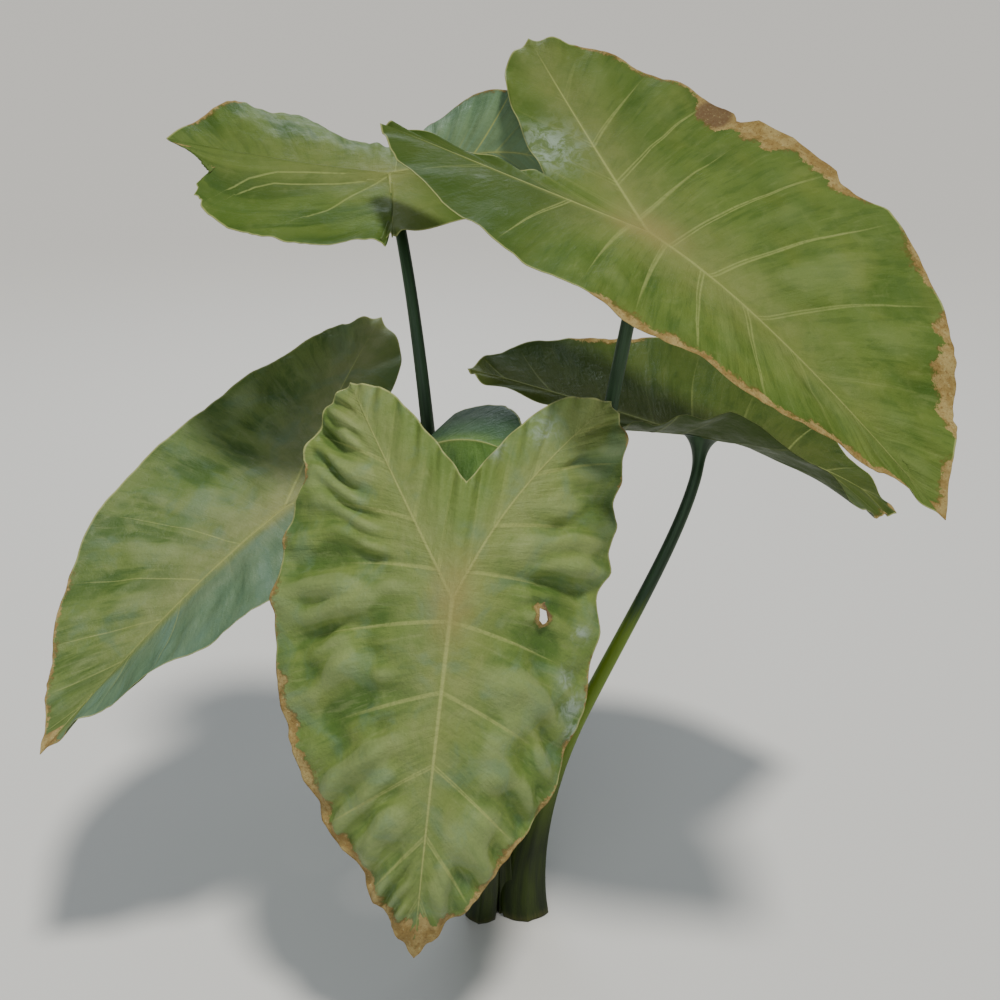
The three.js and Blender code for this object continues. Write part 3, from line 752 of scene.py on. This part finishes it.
def blade_inputs(s, look):
    """What the steps of a blade's material share: what the mesh holds, noises, and measures of both."""
    names = ("edge", "rib", "vein", "pale", "along", "reach", "dead", "under", "relief", "waxy", "burnt")
    g = SimpleNamespace(**{name: s.read(name) for name in names})
    g.plan, flow = s.read("plan", "Vector"), s.read("flow", "Vector")
    g.sideways = s.node("ShaderNodeSeparateXYZ", {0: g.plan})[1]
    g.patches = s.noise(g.plan, 5.5, 4, 0.6, 0.6)
    g.mottle = s.noise(g.plan, 19, 5, 0.65)
    g.grain = s.noise(g.plan, 75, 3, 0.6)
    g.streaks = s.noise(s.stretch(flow, (1.9, 0.7, 1.0)), 1.6, 5, 0.58, 0.5)
    g.brushed = s.noise(s.stretch(flow, (4.2, 1.1, 1.0)), 2.2, 4, 0.62, 0.3)
    g.plain = s.step(s.read("inner"), 0.0, 1.0, 0.25, 1.0)
    g.away = s.math("ABSOLUTE", s.math("SUBTRACT", g.along, 1.0))
    strong = s.step(g.away, 0.0, 1.0, 0.6 * look.rib_width, 2.3 * look.rib_width)
    g.main = s.math("DIVIDE", g.rib, strong)
    rough_edge = s.math("SUBTRACT", s.noise(g.plan, 22, 6, 0.78), 0.5)
    g.worn = s.math("ADD", g.dead, s.times(rough_edge, 1.9))
    return g


def paint_green(s, look, g):
    """Deep in streaks and paler by the ribs, with painted shade in hollows and painted light on what is
    raised, a bloom of blue wax with painted sheen, one half in painted sheen (painted shade on the young
    leaf), painted shade on the lobes and over a blade in shade, and the blade's tint together with painted
    light.
    """
    broad = s.noise(g.plan, 1.6, 3, 0.5)
    s.color = s.mix(s.step(broad, 0.32, 0.68), tone(90, 112, 40), tone(106, 124, 50))
    streaked = s.step(g.streaks, 0.49, 0.64, look.streaks)
    streaked = s.times(streaked, s.step(g.reach, 0.05, 0.5, 1.0, 0.35))
    s.paint(s.times(streaked, g.plain), 60, 88, 26)
    s.paint(s.times(s.step(g.brushed, 0.52, 0.62, 0.35), g.plain), 58, 86, 26)
    # Painted shade in the hollows of the relief, and painted light on what is raised
    s.paint(s.step(g.relief, 0.4, -2.2, 0.62), 54, 84, 24)
    s.paint(s.step(g.relief, 2.0, 5.0, 0.5), 130, 144, 76)
    s.paint(s.step(g.patches, 0.5, 0.75, 0.28), 130, 142, 72)
    s.paint(s.times(s.step(g.brushed, 0.44, 0.3, 0.3), g.plain), 132, 143, 76)
    bright = look.bright_rib
    near_rib = s.times(s.step(g.rib, 75, 4), s.step(g.along, 0.1, 0.9, 1.0, 0.2))
    near_rib = s.times(near_rib, s.step(g.patches, 0.25, 0.65, bright, 0.5 * bright))
    s.paint(near_rib, 138, 143, 76)
    warm = s.times(s.step(s.noise(g.plan, 2.3, 2, 0.5, 0.3), 0.45, 0.7), 0.4 * look.warm)
    s.paint(warm, 136, 138, 54)
    # A thin bloom of wax with painted bluish sheen, stronger over one half: painted sheen on most blades,
    # painted shade on the young leaf
    wax = s.step(s.noise(g.plan, 2.6, 3, 0.55, 0.8), 0.48, 0.7, look.wax)
    side = look.wax_side
    sheen_and_shade_on_half = s.times(s.step(g.sideways, 0.02 * side, 0.16 * side), s.step(g.streaks, 0.2, 0.6, 0.6, 1.0))
    sheen_and_shade_on_half = s.times(sheen_and_shade_on_half, s.step(g.along, look.wax_from, look.wax_from + 0.15))
    wax = s.math("MAXIMUM", wax, s.times(sheen_and_shade_on_half, look.wax_half))
    s.paint(wax, *look.wax_tone)
    # Painted shade over a blade that lies in shade
    s.paint(look.dark, 46, 62, 24)
    in_shade = s.step(g.along, 1.05, 1.4, look.shaded)
    in_shade = s.times(in_shade, s.step(g.sideways, 0.05, -0.1, 1.0, 0.3))
    s.paint(in_shade, 58, 82, 24)
    # The blade's own tint together with painted light, making some blades brighter and others darker
    s.color = s.mix(1.0, s.color, look.tint, "MULTIPLY")


def paint_side_veins(s, look, g):
    """Side veins as two pale lines that close up outwards, and further veins as single ones."""
    faded = s.times(s.times(g.pale, g.plain), s.step(g.mottle, 0.3, 0.55, 1.0, 0.45))
    between = s.math("SUBTRACT", g.vein, s.step(g.reach, 0.0, 1.0, 0.3 * look.double, look.double))
    width = s.step(g.reach, 0.0, 1.0, 0.8 * look.vein_width, 1.25 * look.vein_width)
    line = s.step(s.math("ABSOLUTE", between), width, 0.1)
    s.paint(s.times(line, faded), 150, 158, 94)
    for k in range(len(look.strokes)):
        stroke = s.step(s.math("ABSOLUTE", s.read(f"stroke_{k}")), 1.7, 0.4, 0.6)
        s.paint(s.times(stroke, s.step(g.mottle, 0.3, 0.5, 1.0, 0.4)), 150, 160, 96)


def paint_main_ribs(s, look, g):
    """Ribs that taper away from the seat, with a soft glow, warm around the seat itself."""
    end = s.times(s.step(g.away, 0.98, 0.7), s.step(g.along, look.rib_end, look.rib_end + 0.2))
    s.paint(s.times(s.step(g.main, 4.0, 0.4, 0.35), end), 132, 140, 80)
    s.paint(s.times(s.step(g.main, 1.1, 0.3, 0.75), end), 156, 162, 98)
    stretched = s.stretch(g.plan, (0.75, 1.4, 0.0))
    from_seat = s.node("ShaderNodeVectorMath", {0: stretched}, operation="LENGTH")["Value"]
    seat = s.math("ADD", from_seat, s.step(g.patches, 0.3, 0.7, 0.12))
    s.paint(s.times(s.step(seat, 0.5, 0.04), look.glow), 142, 132, 80)


def withered(s, g):
    """Tan with speckles and glints, darkest where it is burnt."""
    s.color = s.mix(s.step(s.noise(g.plan, 7, 4, 0.6), 0.38, 0.62), tone(138, 114, 66), tone(162, 142, 92))
    s.paint(s.step(s.noise(g.plan, 4.2, 4, 0.6), 0.52, 0.72, 0.5), 122, 92, 56)
    s.paint(s.step(g.burnt, 0.3, 0.6, 0.85), 98, 76, 58)
    s.paint(s.step(s.noise(g.plan, 40, 5, 0.8), 0.53, 0.62, 0.65), 100, 70, 38)
    glint = s.step(s.noise(s.stretch(g.plan, (1.0, 1.0, 3.0)), 34, 5, 0.8), 0.56, 0.66, 0.6)
    s.paint(glint, 184, 172, 124)
    return s.color


def underside(s, look, g, tan):
    """Paler and greyer, with ribs that stand out, and painted shade over a blade that lies in shade."""
    s.color = s.mix(s.step(g.mottle, 0.3, 0.7), tone(80, 98, 48), tone(94, 112, 58))
    s.paint(s.step(g.streaks, 0.45, 0.7, 0.4), 66, 86, 42)
    # Painted shade over the underside of a blade that lies in shade
    s.paint(look.dark, 42, 54, 24)
    s.paint(s.step(g.main, 1.6, 0.4, 0.85), 134, 142, 84)
    s.paint(s.times(s.step(g.vein, 1.8, 0.4), 0.5), 124, 132, 76)
    return s.mix(s.step(g.worn, 0.5, 0.58), s.color, tan)


def blade_material(leaf):
    look = leaf["look"]
    s = Shader(f"{leaf['name']}_blade")
    g = blade_inputs(s, look)
    tan = withered(s, g)
    low = underside(s, look, g, tan)
    paint_green(s, look, g)
    paint_side_veins(s, look, g)
    paint_main_ribs(s, look, g)

    # Painted highlights of a bluish light, the pale rim, then the withered stretches and their scorched edge
    spots = s.times(g.waxy, s.step(s.noise(g.plan, 8, 5, 0.7, 0.8), 0.4, 0.6, 0.9, 0.15))
    s.paint(spots, 150, 166, 150)
    s.paint(s.step(g.edge, 2.0, 0.6, 0.7), 172, 174, 114)
    s.color = s.mix(s.step(g.worn, 0.5, 0.58), s.color, tan)
    scorch = s.times(s.step(g.worn, 0.2, 0.5), s.step(g.worn, 0.85, 0.55))
    scorch = s.times(scorch, s.step(g.patches, 0.42, 0.6, 0.6, 0.05))
    s.paint(scorch, 96, 76, 34)

    s.color = s.mix(g.under, s.color, low)
    s.paint(s.step(g.grain, 0.3, 0.7, 0.10), 60, 80, 30)
    s.put(s.surface["Base Color"], s.color)
    rough = s.step(s.noise(g.plan, 7, 3, 0.5), 0.3, 0.7, 0.6, 0.44)
    s.put(s.surface["Roughness"], s.math("MAXIMUM", rough, s.step(g.worn, 0.5, 0.6, 0.8)))
    s.put(s.surface["Specular IOR Level"], look.gloss)
    skin = s.math("ADD", g.mottle, s.times(s.times(g.brushed, 1.2), g.plain))
    s.put(s.surface["Normal"], s.bump(g.grain, 0.0002, 0.4, Normal=s.bump(skin, 0.0014, 0.8)))
    return s.material


def stalk_material():
    """Dark at the foot with painted shade, yellow green above it, then bluish, with fine lines, pale laps and
    a pale cut end.
    """
    s = Shader("stalk")
    around, rise = s.read("around"), s.read("rise")
    inputs = {0: s.math("SINE", around), 1: s.math("COSINE", around), 2: rise}
    where = s.node("ShaderNodeCombineXYZ", inputs)[0]
    broad = s.noise(s.stretch(where, (1.2, 1.2, 7.0)), 1.6, 4, 0.55)
    lines = s.noise(s.stretch(where, (9.0, 9.0, 3.0)), 2.0, 3, 0.6)
    fine = s.noise(s.stretch(where, (22.0, 22.0, 6.0)), 2.0, 3, 0.6)
    # The dark tones that stay at the foot are painted shade from the leaves over it
    s.color = s.mix(s.step(broad, 0.35, 0.68), tone(22, 32, 8), tone(48, 62, 10))
    s.paint(s.step(rise, 0.07, 0.2), 112, 138, 36)
    high = s.mix(s.step(broad, 0.35, 0.68), tone(32, 54, 30), tone(54, 80, 52))
    s.color = s.mix(s.step(s.math("ADD", rise, s.times(broad, 0.06)), 0.31, 0.36), s.color, high)
    s.paint(s.step(lines, 0.5, 0.75, 0.06), 92, 104, 36)
    s.paint(s.step(fine, 0.5, 0.3, 0.12), 30, 46, 18)
    foot = s.math("ADD", rise, s.times(s.math("SUBTRACT", lines, 0.5), 0.02))
    s.paint(s.step(foot, 0.009, 0.0, 0.3), 96, 90, 46)
    s.paint(s.math("MULTIPLY", s.read("lip"), 0.45), 110, 104, 52)
    pith = s.mix(s.step(s.noise(where, 9, 4), 0.4, 0.6), tone(140, 140, 84), tone(96, 84, 46))
    s.put(s.surface["Base Color"], s.mix(s.read("cut"), s.color, pith))
    s.put(s.surface["Roughness"], s.step(broad, 0.3, 0.7, 0.48, 0.34))
    s.put(s.surface["Specular IOR Level"], 0.28)
    s.put(s.surface["Normal"], s.bump(s.math("ADD", lines, s.times(fine, 0.5)), 0.0005, 0.5))
    return s.material


def floor_material():
    s = Shader("floor")
    s.put(s.surface["Base Color"], FLOOR_COLOR)
    s.put(s.surface["Roughness"], 0.8)
    return s.material


def add_mesh(name, points, quads, values, material):
    """A smooth mesh object from points in millimetres; quads with a repeated corner become triangles."""
    faces = np.stack([quads[:, [0, 1, 2]], quads[:, [0, 2, 3]]], 1).reshape(-1, 3)
    real = (faces[:, 0] != faces[:, 1]) & (faces[:, 1] != faces[:, 2]) & (faces[:, 0] != faces[:, 2])
    used, faces = np.unique(faces[real], return_inverse=True)
    faces = faces.reshape(-1, 3)
    mesh = bpy.data.meshes.new(name)
    mesh.vertices.add(len(used))
    mesh.vertices.foreach_set("co", (points[used] * MM_IN_METRES).astype(np.float32).ravel())
    mesh.loops.add(faces.size)
    mesh.loops.foreach_set("vertex_index", faces.astype(np.int32).ravel())
    mesh.polygons.add(len(faces))
    mesh.polygons.foreach_set("loop_start", np.arange(0, faces.size, 3, dtype=np.int32))
    mesh.polygons.foreach_set("use_smooth", np.ones(len(faces), bool))
    mesh.update(calc_edges=True)
    for key, value in values.items():
        value = np.asarray(value, np.float32)[used]
        kind, field = ("FLOAT_VECTOR", "vector") if value.ndim == 2 else ("FLOAT", "value")
        mesh.attributes.new(key, kind, "POINT").data.foreach_set(field, value.ravel())
    mesh.materials.append(material)
    piece = bpy.data.objects.new(name, mesh)
    bpy.context.scene.collection.objects.link(piece)
    return piece


def stalk_path(leaf, t):
    """Centre points of a stalk, and the two directions across it at each."""
    stalk = leaf["stalk"]
    seat = place(leaf, bend(leaf, np.array([float(stalk["ahead"])]), np.zeros(1), np.zeros(1)))[0]
    controls = np.array([(*stalk["foot"], 0), stalk["rise"], stalk["crest"], seat], float)
    t = t[:, None]
    centre = np.hstack([(1 - t) ** 3, 3 * t * (1 - t) ** 2, 3 * t**2 * (1 - t), t**3]) @ controls
    tangent = unit(np.hstack([(1 - t) ** 2, 2 * t * (1 - t), t**2]) @ np.diff(controls, axis=0))
    up = np.array([0.0, 0.0, 1.0])
    normal = up + (tangent - up) * smooth(t, 0, 0.2)
    normal = unit(normal + (leaf_axes(leaf)[:, 2] - normal) * smooth(t, 0.9, 1))
    turn = math.radians(stalk.get("turn", 0))
    long_axis = np.array([math.cos(turn), math.sin(turn), 0.0])
    along = unit(long_axis - normal * (normal @ long_axis)[:, None])
    return centre, along, np.cross(normal, along)


def stalk_rings(leaf, order, seam, angle):
    """Rings of points up a stalk, from a lapped sheath to a flare, and how near each is to the lap's edge."""
    stalk = leaf["stalk"]
    t = np.linspace(0, 1, STALK_RINGS)
    centre, along, across = stalk_path(leaf, t)
    round_size = stalk["middle"] + (stalk["top"] - stalk["middle"]) * smooth(t, 0.3, 0.95)
    sheath = 1 - smooth(t, 0.02, 0.42)
    lap = (angle - math.radians(seam)) % (2 * math.pi) / (2 * math.pi)
    lip = np.exp(-((lap / 0.03) ** 2)) + np.exp(-(((1 - lap) / 0.012) ** 2))
    step = (1 - lap[None, :] ** 2) * (sheath * smooth(t, 0, 0.02))[:, None]
    fold = (angle + 0.7 * order) % (math.pi / 3) - math.pi / 6
    facets = 22 * (math.cos(math.pi / 6) / np.cos(fold) - 0.96)
    spread = 1.3 * np.exp(-40 * t)[:, None] * (1 + 0.7 * np.sin(5 * angle + order))
    rough = facets * sheath[:, None] + spread + step - 0.9 * sheath[:, None] + 0.3
    sizes = [(round_size + (size - round_size) * sheath)[:, None] + rough for size in stalk["size"]]
    rings = (
        centre[:, None, :]
        + along[:, None, :] * (sizes[0] * np.cos(angle))[..., None]
        + across[:, None, :] * (sizes[1] * np.sin(angle))[..., None]
    )
    axes = leaf_axes(leaf)
    directions = along[-1] * np.cos(angle)[:, None] + across[-1] * np.sin(angle)[:, None]
    plan = unit(np.stack([directions @ axes[:, 0], directions @ axes[:, 1]], 1))
    held_from = 0.87 if leaf["name"] in FLARES else 0.955
    for k in range(STALK_RINGS):
        share = float(smooth(t[k], held_from, 1)) ** 1.5
        if share > 0:
            reach = stalk["top"] + FLARES.get(leaf["name"], FLARE) * share
            gap = 1.1 + 14 * (1 - t[k]) / 0.045 * (1 - share)
            u, v = stalk["ahead"] + plan[:, 0] * reach, plan[:, 1] * reach
            held = place(leaf, bend(leaf, u, v, np.full_like(u, -gap)))
            rings[k] += (held - rings[k]) * share
    rings[0, :, 2] = 0.12 * order
    return rings, lip * sheath[:, None]


def cap(rings, looks_down):
    """Quads from each ring of point numbers to the next one inside it."""
    quads = []
    for outer, within in zip(rings, rings[1:]):
        corners = [outer, np.roll(outer, -1), np.roll(within, -1), within]
        quads.append(np.stack(corners[:1] + corners[:0:-1] if looks_down else corners, 1))
    return np.concatenate(quads)


def stalk_mesh(leaf, order, seam):
    """A stalk as a closed tube, with a cap at each end."""
    angle = np.arange(STALK_SIDES) * 2 * math.pi / STALK_SIDES
    rings, lip = stalk_rings(leaf, order, seam, angle)
    ends = rings[[0, -1]]
    middles = ends.mean(1)
    inside = [mid + (end - mid) * share for end, mid in zip(ends, middles) for share in CAP_SHARES]
    points = np.concatenate([rings.reshape(-1, 3), *inside, middles])

    index = np.arange(STALK_RINGS * STALK_SIDES).reshape(STALK_RINGS, STALK_SIDES)
    beside = np.roll(index, -1, axis=1)
    walls = np.stack([index[:-1], beside[:-1], beside[1:], index[1:]], -1).reshape(-1, 4)
    foot_a, foot_b, top_a, top_b = (index.size + STALK_SIDES * k + np.arange(STALK_SIDES) for k in range(4))
    foot_centre, top_centre = (np.full(STALK_SIDES, len(points) - k) for k in (2, 1))
    foot_cap = cap([index[0], foot_a, foot_b, foot_centre], True)
    top_cap = cap([index[-1], top_a, top_b, top_centre], False)

    extra = len(points) - index.size
    cut = np.zeros(len(points))
    cut[[*foot_a, *foot_b, foot_centre[0]]] = 1
    around = np.concatenate([np.tile(angle, STALK_RINGS), np.zeros(extra)])
    lip = np.concatenate([lip.ravel(), np.zeros(extra)])
    values = dict(around=around, rise=points[:, 2] * MM_IN_METRES, lip=lip, cut=cut)
    return points, np.concatenate([walls, foot_cap, top_cap]), values


def add_light(name, kind, place_at, target, size, power, color):
    light = bpy.data.objects.new(name, bpy.data.lights.new(name, kind))
    if kind == "SUN":
        light.data.angle = size
    else:
        light.data.shape = "DISK"
        light.data.size = size
    light.data.energy = power
    light.data.color = color
    light.location = place_at
    aim = Vector(target) - Vector(place_at)
    light.rotation_euler = aim.to_track_quat("-Z", "Y").to_euler()
    bpy.context.scene.collection.objects.link(light)


# Camera at the photograph's angle
camera = bpy.data.objects.new("camera", bpy.data.cameras.new("camera"))
camera.location = CAMERA_PLACE
camera.rotation_euler = (math.radians(CAMERA_TILT), 0, 0)
camera.data.lens = CAMERA_LENS
camera.data.sensor_width = CAMERA_SENSOR
bpy.context.scene.collection.objects.link(camera)
bpy.context.scene.camera = camera

# Blades
for number, leaf in enumerate(LEAVES):
    noises = [Noise(FIRST_SEED + SEEDS_PER_LEAF * number + k) for k in range(3)]
    points, quads, values = blade_mesh(leaf, noises)
    own = np.full(len(points), TEXTURE_APART * number)
    values["plan"] = np.stack([values.pop("u") / TEXTURE_UNIT, values.pop("v") / TEXTURE_UNIT, own], 1)
    values["flow"] = np.stack([values.pop("number"), values["rib"] / TEXTURE_UNIT, own], 1)
    blade = add_mesh(f"{leaf['name']}_blade_piece", points, quads, values, blade_material(leaf))
    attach(blade, "root")
    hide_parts(f"{leaf['name']}_blade")

# Stalks
stalk_look = stalk_material()
for order, (name, seam) in enumerate(SEAMS.items()):
    leaf = next(entry for entry in LEAVES if entry["name"] == name)
    stalk = add_mesh(f"{name}_stalk_piece", *stalk_mesh(leaf, order, seam), stalk_look)
    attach(stalk, "root")
    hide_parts(f"{name}_stalk")

# Floor and light
bpy.ops.mesh.primitive_plane_add(size=FLOOR_SIZE, location=(0, 0, 0))
floor = bpy.context.object
floor.name = "floor"
floor.data.materials.append(floor_material())
for light in LIGHTS:
    add_light(*light)
world = bpy.data.worlds.new("world")
world.use_nodes = True
background = world.node_tree.nodes["Background"].inputs
background[0].default_value = SKY_COLOR
background[1].default_value = SKY_STRENGTH
bpy.context.scene.world = world
